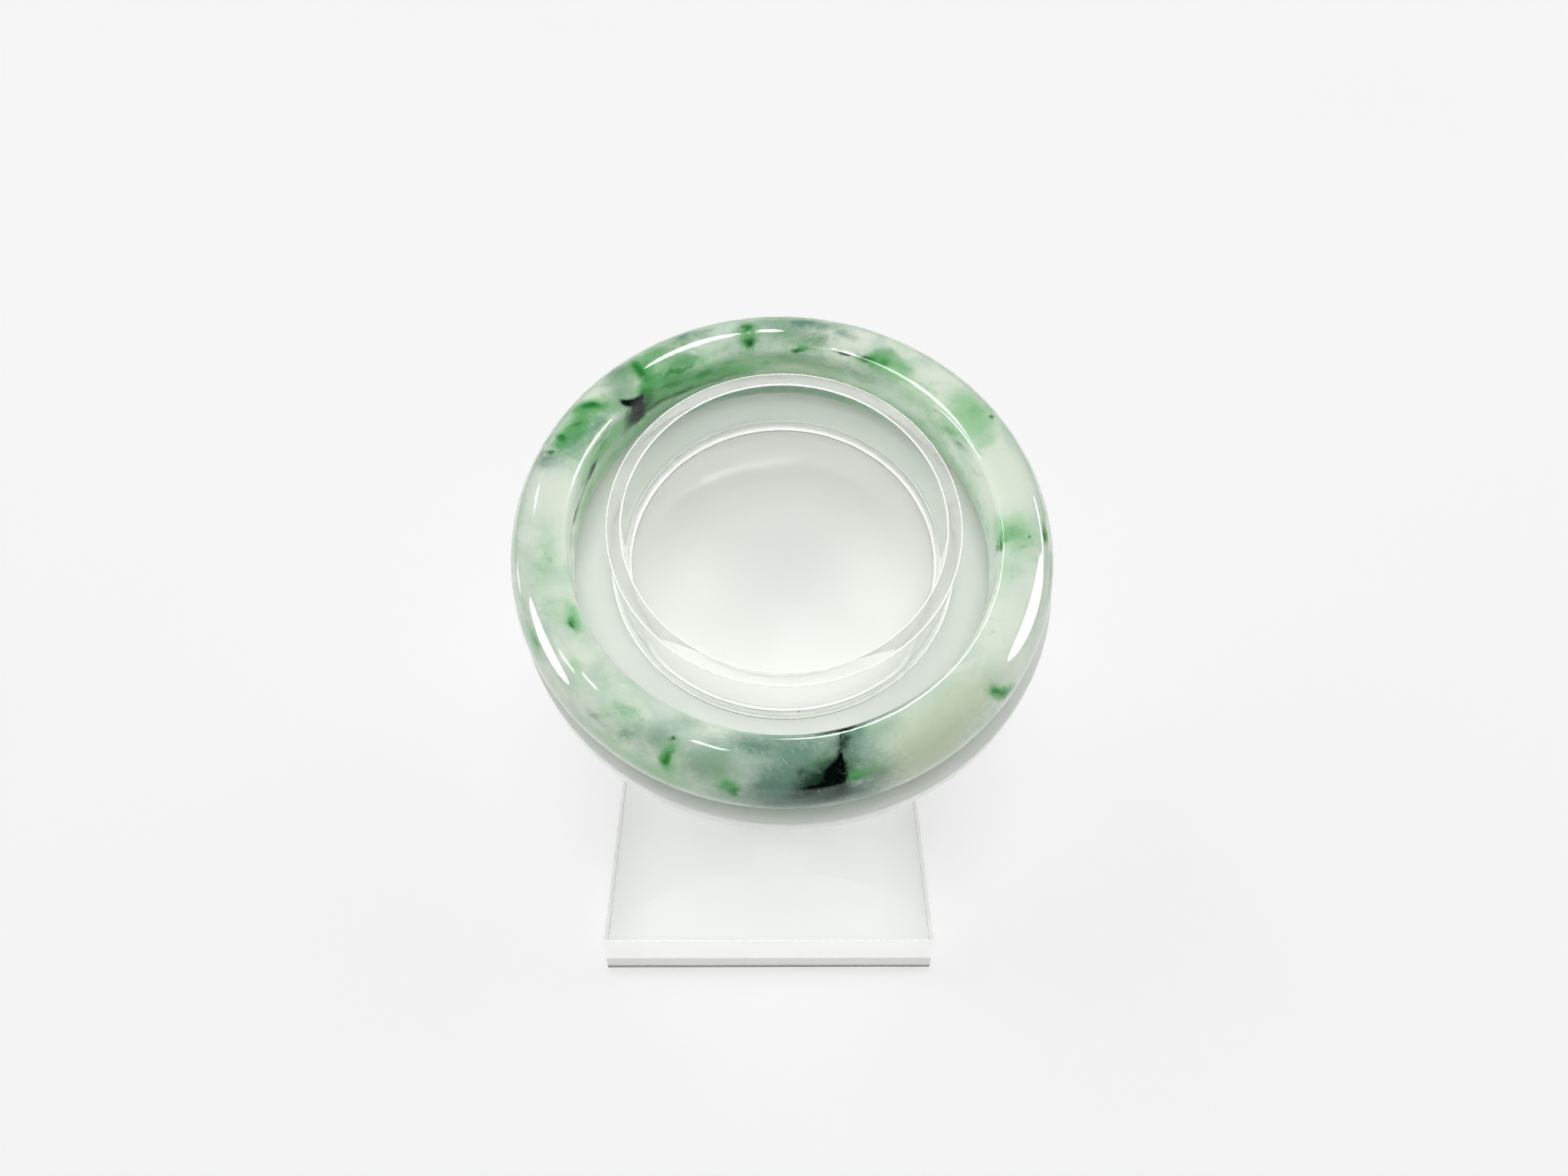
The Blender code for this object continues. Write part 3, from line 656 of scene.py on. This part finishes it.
def make_jade():
    """Polished jade: clouded celadon under the mottling's layers, with pale veins and specks on top."""
    t = Tree("jade")
    fine = t.noise(1500.0, 3.0, 0.6)
    coarse = t.noise(420.0, 5.0, 0.65, 0.4)
    fibre = t.noise(260.0, 5.0, 0.65, 1.2, t.stretched((0.5, 1.0, 1.3), (0.5, 0.3, 0.6)))
    cloud = t.noise(150.0, 5.0, 0.6, 0.8)
    rag = t.maths("ADD", t.maths("MULTIPLY", coarse, 0.4), t.maths("MULTIPLY", fine, 0.2))
    rag = t.maths("ADD", rag, t.maths("MULTIPLY", fibre, 0.4))
    rag = t.maths("SUBTRACT", rag, 0.5)
    colour = t.mix(t.ramp(cloud, 0.38, 0.68), JADE["celadon"], JADE["pale"])
    colour = t.mix(t.ramp(fibre, 0.50, 0.74, 0.0, 0.5), colour, JADE["apple"])

    def layer(colour, name, fray, low, high):
        value = t.maths("ADD", t.mask(name), t.maths("MULTIPLY", rag, fray))
        return t.mix(t.ramp(value, low, high), colour, JADE[name])

    for row in LAYERS:
        colour = layer(colour, *row)
    # Painted dark reflection along the near bore edge.
    line = t.maths("MULTIPLY", t.mask("painted_edge_reflection"), PAINTED_REFLECTION_STRENGTH)
    colour = t.mix(line, colour, JADE["deep"])
    colour = layer(colour, *INK_LAYER)
    web = t.cells(650.0, t.warped(0.0022, 420.0))
    thread = t.ramp(web, 0.0, 0.05, 1.0, 0.0)
    thread = t.maths("MULTIPLY", thread, t.ramp(fibre, 0.48, 0.66))
    thread = t.maths("MULTIPLY", thread, t.mask("vein"))
    colour = t.mix(t.maths("MULTIPLY", thread, 0.4), colour, JADE["vein"])
    speck = t.ramp(fine, 0.62, 0.78, 0.0, 0.22)
    colour = t.mix(speck, colour, JADE["vein"])
    gloss = t.ramp(coarse, 0.3, 0.8, 0.02, 0.05)
    gloss = t.maths("ADD", gloss, t.maths("MULTIPLY", t.mask("dull"), 0.5))
    t.shade(Base_Color=colour, Roughness=gloss, IOR=JADE_IOR, Specular_IOR_Level=0.36)
    t.shade(Subsurface_Weight=0.5, Subsurface_Scale=1.6 * MM)
    t.shader.inputs["Subsurface Radius"].default_value = (0.9, 1.2, 0.9)
    t.shade(Normal=t.bump(t.noise(90.0, 2.0, 0.5), 0.03 * MM, 0.5))
    return t.material


def make_clear():
    """Clear acrylic with faint smudges in its polish."""
    t = Tree("clear_acrylic")
    smudge = t.ramp(t.noise(120.0, 4.0, 0.6, 0.5), 0.45, 0.8, 0.0, 0.03)
    t.shade(Base_Color=PLAIN["clear"], Roughness=smudge, IOR=ACRYLIC_IOR, Transmission_Weight=1.0)
    return t.material


def make_milky(name, clearness):
    """Cured cement and scraped edges: whitish and at most partly clear."""
    t = Tree(name)
    tone = t.ramp(t.noise(700.0, 3.0, 0.6), 0.3, 0.7)
    colour = t.mix(tone, PLAIN["milky"], PLAIN["milky_light"])
    rough = t.ramp(t.noise(1800.0, 2.0, 0.5), 0.3, 0.7, 0.12, 0.3)
    t.shade(Base_Color=colour, Roughness=rough, IOR=ACRYLIC_IOR, Transmission_Weight=clearness)
    t.shade(Normal=t.bump(t.noise(400.0, 2.0, 0.5), 0.01 * MM, 0.3))
    return t.material


def make_frosted():
    """Saw-cut front of the clear foot: whitish, half clear, painted shade and painted contact shadow at the
    bottom.
    """
    t = Tree("frosted_acrylic")
    height = t.nodes.new("ShaderNodeSeparateXYZ")
    t.set(height, "Vector", t.place())
    grain = t.maths("MULTIPLY", t.noise(900.0, 3.0, 0.6), 0.3 * MM)
    level = t.maths("ADD", height.outputs["Z"], grain)
    # Painted shade on the lowest band of the front, and a painted contact shadow below it.
    colour = t.mix(t.ramp(level, *FOOT_PAINTED_SHADE_BELOW), PLAIN["frost_painted_shade"], PLAIN["frost"])
    colour = t.mix(t.ramp(level, *FOOT_PAINTED_SHADOW_BELOW), PLAIN["frost_painted_shadow"], colour)
    rough = t.ramp(t.noise(2500.0, 2.0, 0.5), 0.3, 0.7, 0.35, 0.5)
    saw_marks = t.noise(3000.0, 2.0, 0.5, vector=t.stretched((0.15, 0.15, 1.0), (0, 0, 0)))
    t.shade(Base_Color=colour, Roughness=rough, IOR=ACRYLIC_IOR, Transmission_Weight=0.55)
    t.shade(Normal=t.bump(saw_marks, 0.01 * MM, 0.5))
    return t.material


def make_opal():
    """Opal acrylic with one tiny dark speck, by the collar's foot."""
    disc = Turned("plate")
    t = Tree("opal_acrylic")
    colour = t.mix(t.noise(60.0, 2.0, 0.5), PLAIN["opal"], PLAIN["opal_light"])
    speck = t.nodes.new("ShaderNodeVectorMath")
    speck.operation = "DISTANCE"
    t.set(speck, 0, t.place())
    speck.inputs[1].default_value = disc.point(SPECK_FROM_MIDDLE, math.radians(SPECK_ANGLE), disc.high)
    colour = t.mix(t.ramp(speck.outputs["Value"], 0.10 * MM, 0.22 * MM), PLAIN["speck"], colour)
    polish = t.ramp(t.noise(140.0, 3.0, 0.6), 0.3, 0.7, 0.14, 0.2)
    t.shade(Base_Color=colour, Roughness=polish, IOR=ACRYLIC_IOR)
    t.shade(Subsurface_Weight=1.0, Subsurface_Scale=4.0 * MM)
    t.shader.inputs["Subsurface Radius"].default_value = (1.0, 1.0, 1.0)
    return t.material


def make_floor_material():
    """Pale and matt, with a glow that is a little stronger beyond the object than in front of it."""
    t = Tree("pale_floor")
    colour = t.mix(t.noise(9.0, 2.0, 0.5), PLAIN["floor"], PLAIN["floor_light"])
    split = t.nodes.new("ShaderNodeSeparateXYZ")
    t.set(split, "Vector", t.place())
    glow = t.ramp(split.outputs["Y"], *FLOOR_GLOW_FROM, *FLOOR_GLOW)
    t.shade(Base_Color=colour, Roughness=0.9, Specular_IOR_Level=0.0)
    t.shade(Emission_Color=PLAIN["glow"], Emission_Strength=glow)
    return t.material


# Shapes of the stand

def cylinder(radius, depth, steps, cap_ends=True):
    shape = bmesh.new()
    sizes = {"radius1": radius, "radius2": radius, "depth": depth}
    bmesh.ops.create_cone(shape, cap_ends=cap_ends, segments=steps, **sizes)
    return shape


def rims(shape):
    """Edges where the many-sided ends of a cylinder meet its side."""
    return [e for e in shape.edges if max(len(f.verts) for f in e.link_faces) > 4]


def round_edges(shape, edges, width, steps):
    bmesh.ops.bevel(shape, geom=list(edges), offset=width, segments=steps, profile=0.5, affect="EDGES")


def add_shape(name, shape):
    """Smooth object from a bmesh, which is freed."""
    mesh = bpy.data.meshes.new(name)
    shape.to_mesh(mesh)
    shape.free()
    mesh.shade_smooth()
    return add_object(name, mesh)


def even_normals(piece):
    """Keeps flat and round faces true where they meet small rounded edges."""
    smooth = piece.modifiers.new("even normals", "WEIGHTED_NORMAL")
    smooth.mode = "FACE_AREA"
    smooth.weight = 100
    smooth.keep_sharp = False


def arc(radius, height, edge, start, end):
    """Arc of a section: its centre, its own radius, and the angles in degrees of its ends."""
    angles = np.radians(start + (end - start) * np.arange(ROUND_STEPS + 1) / ROUND_STEPS)
    return [(radius + edge * math.cos(a), height + edge * math.sin(a)) for a in angles]


def turned_piece(name, node, section):
    """A round piece whose closed section is a list of (radius, height square to the plate)."""
    angle = np.arange(TUBE_STEPS) / TUBE_STEPS * 2 * math.pi
    radius, height = np.array(section).T
    angle, radius = np.meshgrid(angle, radius, indexing="ij")
    height = np.broadcast_to(height, radius.shape)
    return closed_grid(name, Turned(node).point(radius, angle, height))


def make_collar():
    """Clear tube with scraped rim edges and a bead of cement at its foot: materials 0, 1 and 2."""
    ring = Turned("collar")
    low, top = ring.low - BOND, ring.high - RIM_EDGE
    bead_top = low + BOND + BEAD
    outer_bead = [(ring.outer + BEAD, low)] + arc(ring.outer + BEAD, bead_top, BEAD, -90.0, -180.0)
    outer_edge = arc(ring.outer - RIM_EDGE, top, RIM_EDGE, 0.0, 90.0)
    inner_edge = arc(ring.inner + RIM_EDGE, top, RIM_EDGE, 90.0, 180.0)
    inner_bead = arc(ring.inner - BEAD, bead_top, BEAD, 0.0, -90.0) + [(ring.inner - BEAD, low)]
    made = turned_piece("collar_tube", "collar", outer_bead + outer_edge + inner_edge + inner_bead)
    surfaces = []
    for part, surface in ((outer_bead, 2), (outer_edge, 1), (inner_edge, 1), (inner_bead, 2)):
        surfaces += [surface] * (len(part) - 1) + [0]
    for face in made.data.polygons:
        face.material_index = surfaces[face.index % len(surfaces)]
    even_normals(made)
    return made


def make_plate():
    ring = Turned("plate")
    shape = cylinder(ring.outer, ring.high - ring.low, TUBE_STEPS)
    round_edges(shape, rims(shape), PLATE_EDGE, ROUND_STEPS)
    made = add_shape("plate_disc", shape)
    place = Matrix((ACROSS, UPHILL, SQUARE)).transposed().to_4x4()
    place.translation = Vector(ring.u * ACROSS + ring.v * UPHILL + (ring.low + ring.high) / 2 * SQUARE)
    made.data.transform(place)
    even_normals(made)
    return made


def make_foot():
    """Square block, clear with a frosted front and scraped edges: materials 0, 1 and 2."""
    low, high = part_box("foot")
    shape = bmesh.new()
    bmesh.ops.create_cube(shape, size=1.0)
    bmesh.ops.scale(shape, vec=high - low, verts=shape.verts)
    round_edges(shape, shape.edges, FOOT_EDGE, EDGE_STEPS)
    bmesh.ops.translate(shape, vec=(low + high) / 2, verts=shape.verts)
    shape.normal_update()
    for face in shape.faces:
        if max(abs(part) for part in face.normal) < 0.98:
            face.material_index = 2
        elif face.normal.y < -0.5:
            face.material_index = 1
    made = add_shape("foot_block", shape)
    even_normals(made)
    return made


def make_post():
    """Round post with a broken edge below and a top cut to the plate's slope."""
    low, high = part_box("post")
    middle = (low + high) / 2
    radius = (high.x - low.x) / 2
    slope = UPHILL[2] / UPHILL[1]
    top_middle = high.z - slope * radius
    shape = cylinder(radius, 1.0, POST_STEPS)
    for v in shape.verts:
        z = low.z - BOND if v.co.z < 0 else top_middle + slope * v.co.y + BOND
        v.co = Vector((middle.x + v.co.x, middle.y + v.co.y, z))
    round_edges(shape, rims(shape), POST_EDGE, EDGE_STEPS)
    made = add_shape("post_rod", shape)
    even_normals(made)
    return made


def dress(piece, node, slot, *surfaces):
    """Gives a piece its materials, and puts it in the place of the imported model's node."""
    for surface in surfaces:
        piece.data.materials.append(surface)
    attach(piece, "root")
    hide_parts(node)


# Floor and backdrop

def make_floor(surface):
    """A white sheet whose front, left and right ends show as lines in the jade, on a wider pale table."""
    for name, (left, front), (right, back), depth in FLOORS:
        corners = [(left, front, 0), (right, front, 0), (right, back, 0), (left, back, 0)]
        mesh = bpy.data.meshes.new(name)
        mesh.from_pydata(corners, [], [(0, 1, 2, 3)])
        floor = add_object(name, mesh)
        floor.location.z = -depth
        floor.visible_glossy = name == "sheet"
        floor.data.materials.append(surface)


def make_backdrop(surface):
    """Pale wall round the table that only the camera sees."""
    shape = cylinder(BACKDROP_RADIUS, BACKDROP_HEIGHT, BACKDROP_STEPS, cap_ends=False)
    bmesh.ops.translate(shape, vec=(0.0, 0.0, BACKDROP_MIDDLE), verts=shape.verts)
    bmesh.ops.reverse_faces(shape, faces=shape.faces)
    wall = add_shape("backdrop", shape)
    wall.visible_diffuse = False
    wall.visible_glossy = False
    wall.visible_transmission = False
    wall.visible_shadow = False
    wall.data.materials.append(surface)


# Light

# Lamps that only show mirrored in the jade: name, the two ends of the mirrored line (degrees round the ring,
# way in mm), its thickness in mm, the lamp's distance in metres, radiance, spread in degrees and shape.
PANELS = [
    ("right_panel", (328.6, 5.95), (348.6, 6.3), 1.6, 0.30, 15.0, 180.0, "ELLIPSE"),
    ("left_panel", (209.3, 5.66), (210.2, 5.58), 1.7, 0.25, 15.0, 180.0, "ELLIPSE"),
]
SPARKS = [
    ("top_lamp", (104.3, 8.84), (124.5, 8.91), 0.75, 0.06, 22.0, 40.0, "ELLIPSE"),
    ("top_lamp_end", (91.3, 8.9), (96, 8.92), 0.55, 0.04, 22.0, 30.0, "ELLIPSE"),
    ("back_strip", (273, 10.8), (313, 11.2), 0.26, 0.045, 22.0, 120.0, "RECTANGLE"),
    ("left_spark", (220.5, 7.5), (225.5, 7.5), 0.3, 0.10, 19.0, 16.0, "RECTANGLE"),
    ("left_spark_low", (214.5, 6.8), (217.5, 6.85), 0.35, 0.05, 19.0, 16.0, "RECTANGLE"),
    ("left_glow", (189.5, 4.7), (195.5, 4.6), 0.6, 0.10, 5.0, 16.0, "RECTANGLE"),
    ("front_spark", (251, 8.35), (256, 8.3), 0.35, 0.04, 19.0, 16.0, "RECTANGLE"),
    ("far_left_spark", (172.8, 7.3), (174.2, 7.4), 0.45, 0.05, 16.0, 16.0, "RECTANGLE"),
    ("inner_spark", (69.5, 10.9), (76, 10.9), 0.35, 0.10, 21.0, 16.0, "RECTANGLE"),
    ("inner_spark_right", (38, 11.35), (41.2, 11.3), 0.35, 0.04, 19.0, 90.0, "RECTANGLE"),
    ("inner_line_right", (18.5, 12.0), (36.5, 11.75), 0.28, 0.05, 19.0, 50.0, "RECTANGLE"),
    ("right_tail", (351, 5.9), (366, 6.4), 0.25, 0.10, 14.0, 60.0, "RECTANGLE"),
]

# Lamps that only show mirrored in the plate: name, the mirrored patch's middle (mm across and uphill), its
# length and height in mm, its slant in degrees, the lamp's distance in metres and its radiance.
GLINTS = [
    ("arc_left", (-10.3, 14.2), 8.6, 0.7, 25.0, 0.010, 6.0),
    ("arc_right", (-2.7, 16.6), 9.8, 0.7, 10.0, 0.010, 6.0),
    ("glow_left", (-13.0, -2.9), 6.0, 8.5, 0.0, 0.09, 2.2),
    ("glow_right", (13.0, -3.2), 10.0, 11.0, 0.0, 0.09, 1.8),
    ("glow_near", (1.4, -12.2), 4.0, 8.0, 0.0, 0.09, 2.6),
]

# Least length and height of a lamp that only shows mirrored.
SMALLEST_LAMP = 0.5 * MM

# Lamp for the far inner wall of the bangle: its place downhill and above the plate, its size and radiance.
FILL_DOWNHILL = 20.0 * MM
FILL_ABOVE = 6.0 * MM
FILL_SIZE = (16.0 * MM, 7.0 * MM)
FILL_RADIANCE = 27.0


def only(*pieces):
    """Collection of the pieces that a light reaches, or that throw its shadow."""
    made = bpy.data.collections.new("only")
    for piece in pieces:
        made.objects.link(piece)
    return made


def mirrored_lamp(jade, name, start, end, thickness, distance, radiance, spread, shape):
    """Lamp that the camera sees mirrored in the bangle, along a line between two places of its surface.

    Spread keeps its light near that line.
    """
    places = [(start, 0.5), (start, -0.5), (end, 0.5), (end, -0.5)]
    places.append((((start[0] + end[0]) / 2, (start[1] + end[1]) / 2), 0.0))
    angle = np.radians([p[0] for p, _ in places])
    way = np.array([p[1] + side * thickness for p, side in places]) * MM
    point, normal = jade.point(angle, way), jade.normal(angle, way)
    view = np.array(CAMERA_PLACE) - point
    view /= np.linalg.norm(view, axis=-1, keepdims=True)
    mirrored = 2 * np.sum(normal * view, axis=-1, keepdims=True) * normal - view
    facing = -mirrored[4]
    centre = point[4] + distance * mirrored[4]
    reach = ((centre - point[:4]) @ facing) / (mirrored[:4] @ facing)
    hits = point[:4] + reach[:, None] * mirrored[:4] - centre
    long_side = hits[2] + hits[3] - hits[0] - hits[1]
    long_side /= np.linalg.norm(long_side)
    short_side = np.cross(facing, long_side)
    height = (abs((hits[0] - hits[1]) @ short_side) + abs((hits[2] - hits[3]) @ short_side)) / 2
    turn = Matrix((long_side, np.cross(-facing, long_side), -facing)).transposed().to_4x4()
    turn.translation = Vector(centre)
    return glint_lamp(name, turn, np.ptp(hits @ long_side), height, radiance, spread, shape)


def plate_glint(plate, name, middle, length, height, slant, distance, radiance):
    """Lamp that the camera sees mirrored in the plate as a pale patch."""
    point = (plate.u + middle[0] * MM) * ACROSS + (plate.v + middle[1] * MM) * UPHILL + plate.high * SQUARE
    view = np.array(CAMERA_PLACE) - point
    reach = np.linalg.norm(view)
    view /= reach
    mirrored = 2 * (SQUARE @ view) * SQUARE - view
    long_side = math.cos(math.radians(slant)) * ACROSS + math.sin(math.radians(slant)) * UPHILL
    long_side -= (long_side @ mirrored) * mirrored
    long_side /= np.linalg.norm(long_side)
    turn = Matrix((long_side, np.cross(mirrored, long_side), mirrored)).transposed().to_4x4()
    turn.translation = Vector(point + distance * mirrored)
    grow = (reach + distance) / reach * MM
    return glint_lamp(name, turn, length * grow, height * grow, radiance, 180.0, "ELLIPSE")


def glint_lamp(name, place, length, height, radiance, spread, shape):
    """Area lamp that lights nothing and only shows as a mirror image."""
    data = bpy.data.lights.new(name, "AREA")
    data.shape = shape
    data.size, data.size_y = max(SMALLEST_LAMP, length), max(SMALLEST_LAMP, height)
    data.energy = radiance * math.pi * data.size * data.size_y * (math.pi / 4 if shape == "ELLIPSE" else 1.0)
    if spread < 180.0:
        half = math.radians(spread / 2)
        data.spread = 2 * half
        data.energy *= 1.0 - half / math.tan(half)
    made = add_object(name, data)
    made.matrix_world = place
    made.visible_camera = False
    made.visible_diffuse = False
    made.visible_transmission = False
    return made


def soft_sun(name, azimuth, elevation, spread, radiance, lit=None):
    """Even soft light from far away, not mirrored, on all pieces or only on those of a collection.

    Azimuth 180 comes from the front and 90 from the right. Radiance is what a white floor gets.
    """
    data = bpy.data.lights.new(name, "SUN")
    data.angle = math.radians(spread)
    data.energy = radiance * math.pi / math.sin(math.radians(elevation))
    a, e = math.radians(azimuth), math.radians(elevation)
    towards = Vector((math.sin(a) * math.cos(e), math.cos(a) * math.cos(e), math.sin(e)))
    made = add_object(name, data)
    made.rotation_euler = towards.to_track_quat("Z", "Y").to_euler()
    made.visible_glossy = False
    made.visible_camera = False
    if lit:
        made.light_linking.receiver_collection = lit
    return made


def wall_fill(plate):
    """Small soft lamp low inside the ring, turned uphill, for the far inner wall of the bangle."""
    data = bpy.data.lights.new("wall_fill", "AREA")
    data.shape = "RECTANGLE"
    data.size, data.size_y = FILL_SIZE
    data.energy = FILL_RADIANCE * math.pi * data.size * data.size_y
    made = add_object("wall_fill", data)
    made.location = plate.u * ACROSS + (plate.v - FILL_DOWNHILL) * UPHILL + (plate.high + FILL_ABOVE) * SQUARE
    made.rotation_euler = Vector(UPHILL).to_track_quat("-Z", "Y").to_euler()
    made.visible_camera = False
    made.visible_glossy = False
    made.visible_transmission = False
    return made


def make_lights(jade, ring, plate, collar, foot):
    """Mirrored lamps at the places of the photograph's glints, and soft suns, some only for some pieces."""
    ring_and_collar, head = only(ring, collar), only(plate, collar)
    ring_only, plate_only, collar_only, foot_only = only(ring), only(plate), only(collar), only(foot)
    disc = Turned("plate")
    for panel in PANELS:
        mirrored_lamp(jade, *panel).light_linking.receiver_collection = ring_and_collar
    for spark in SPARKS:
        mirrored_lamp(jade, *spark).light_linking.receiver_collection = ring_only
    for glint in GLINTS:
        plate_glint(disc, *glint).light_linking.receiver_collection = plate_only
    soft_sun("soft_back", 0.0, 62.0, 100.0, 0.31)
    soft_sun("soft_front", 180.0, 64.0, 30.0, 0.20)
    soft_sun("soft_left", -90.0, 35.0, 60.0, 0.10)
    soft_sun("soft_right", 90.0, 35.0, 60.0, 0.08)
    soft_sun("jade_light", 180.0, 72.0, 50.0, 0.36, ring_only)
    soft_sun("head_light", 0.0, 62.0, 50.0, 0.35, head)
    bead_light = soft_sun("bead_light", 180.0, 25.0, 40.0, 0.15, collar_only)
    bead_light.light_linking.blocker_collection = ring_only
    rim_light = soft_sun("rim_light", 180.0, 70.0, 40.0, 0.5, collar_only)
    rim_light.visible_glossy = True
    soft_sun("foot_light", 180.0, 12.0, 40.0, 0.15, foot_only)
    for side in (-90.0, 90.0):
        soft_sun("foot_edge_light", side, 30.0, 40.0, 0.20, foot_only)
    fill = wall_fill(disc)
    fill.light_linking.receiver_collection = ring_only
    fill.light_linking.blocker_collection = ring_only


def make_room():
    """Surroundings: dark behind the camera, pale beyond the object."""
    world = bpy.data.worlds.new("room")
    world.use_nodes = True
    nodes, links = world.node_tree.nodes, world.node_tree.links
    place = nodes.new("ShaderNodeTexCoord")
    split = nodes.new("ShaderNodeSeparateXYZ")
    blend = nodes.new("ShaderNodeMapRange")
    blend.interpolation_type = "SMOOTHSTEP"
    blend.inputs["From Min"].default_value = ROOM_CHANGE[0]
    blend.inputs["From Max"].default_value = ROOM_CHANGE[1]
    blend.inputs["To Min"].default_value = ROOM_IN_FRONT
    blend.inputs["To Max"].default_value = ROOM_BEYOND
    links.new(place.outputs["Generated"], split.inputs[0])
    links.new(split.outputs["Y"], blend.inputs["Value"])
    links.new(blend.outputs["Result"], nodes["Background"].inputs["Strength"])
    bpy.context.scene.world = world


# Camera

def make_camera():
    pitch, yaw, roll = (math.radians(a) for a in (CAMERA_PITCH, CAMERA_YAW, CAMERA_ROLL))
    forward = Vector((math.cos(pitch) * math.sin(yaw), math.cos(pitch) * math.cos(yaw), -math.sin(pitch)))
    level = Vector((math.cos(yaw), -math.sin(yaw), 0.0))
    below = forward.cross(level)
    right = math.cos(roll) * level - math.sin(roll) * below
    down = math.sin(roll) * level + math.cos(roll) * below
    data = bpy.data.cameras.new("camera")
    data.sensor_width = SENSOR_WIDTH
    data.lens = SENSOR_WIDTH * FOCAL_PIXELS / PICTURE_WIDTH
    data.clip_start = CAMERA_NEAR
    data.clip_end = CAMERA_FAR
    camera = add_object("camera", data)
    turn = Matrix((right, -down, -forward)).transposed().to_4x4()
    turn.translation = CAMERA_PLACE
    camera.matrix_world = turn
    bpy.context.scene.camera = camera


def main():
    jade = Jade()
    clear = make_clear()
    scraped = make_milky("scraped_edge", 0.35)
    cement = make_milky("cement", 0.0)
    ring = make_bangle(jade)
    dress(ring, "jade_bangle", "jade", make_jade())
    collar = make_collar()
    dress(collar, "collar", "clear_acrylic", clear, scraped, cement)
    plate = make_plate()
    dress(plate, "plate", "opal_acrylic", make_opal())
    dress(make_post(), "post", "clear_acrylic", clear)
    foot = make_foot()
    dress(foot, "foot", "clear_acrylic", clear, make_frosted(), scraped)
    pale = make_floor_material()
    make_floor(pale)
    make_backdrop(pale)
    make_lights(jade, ring, plate, collar, foot)
    make_room()
    make_camera()
    scene = bpy.context.scene
    scene.view_settings.view_transform = "Standard"
    scene.cycles.glossy_bounces = 12
    scene.cycles.transmission_bounces = 16
    scene.cycles.max_bounces = 20


main()
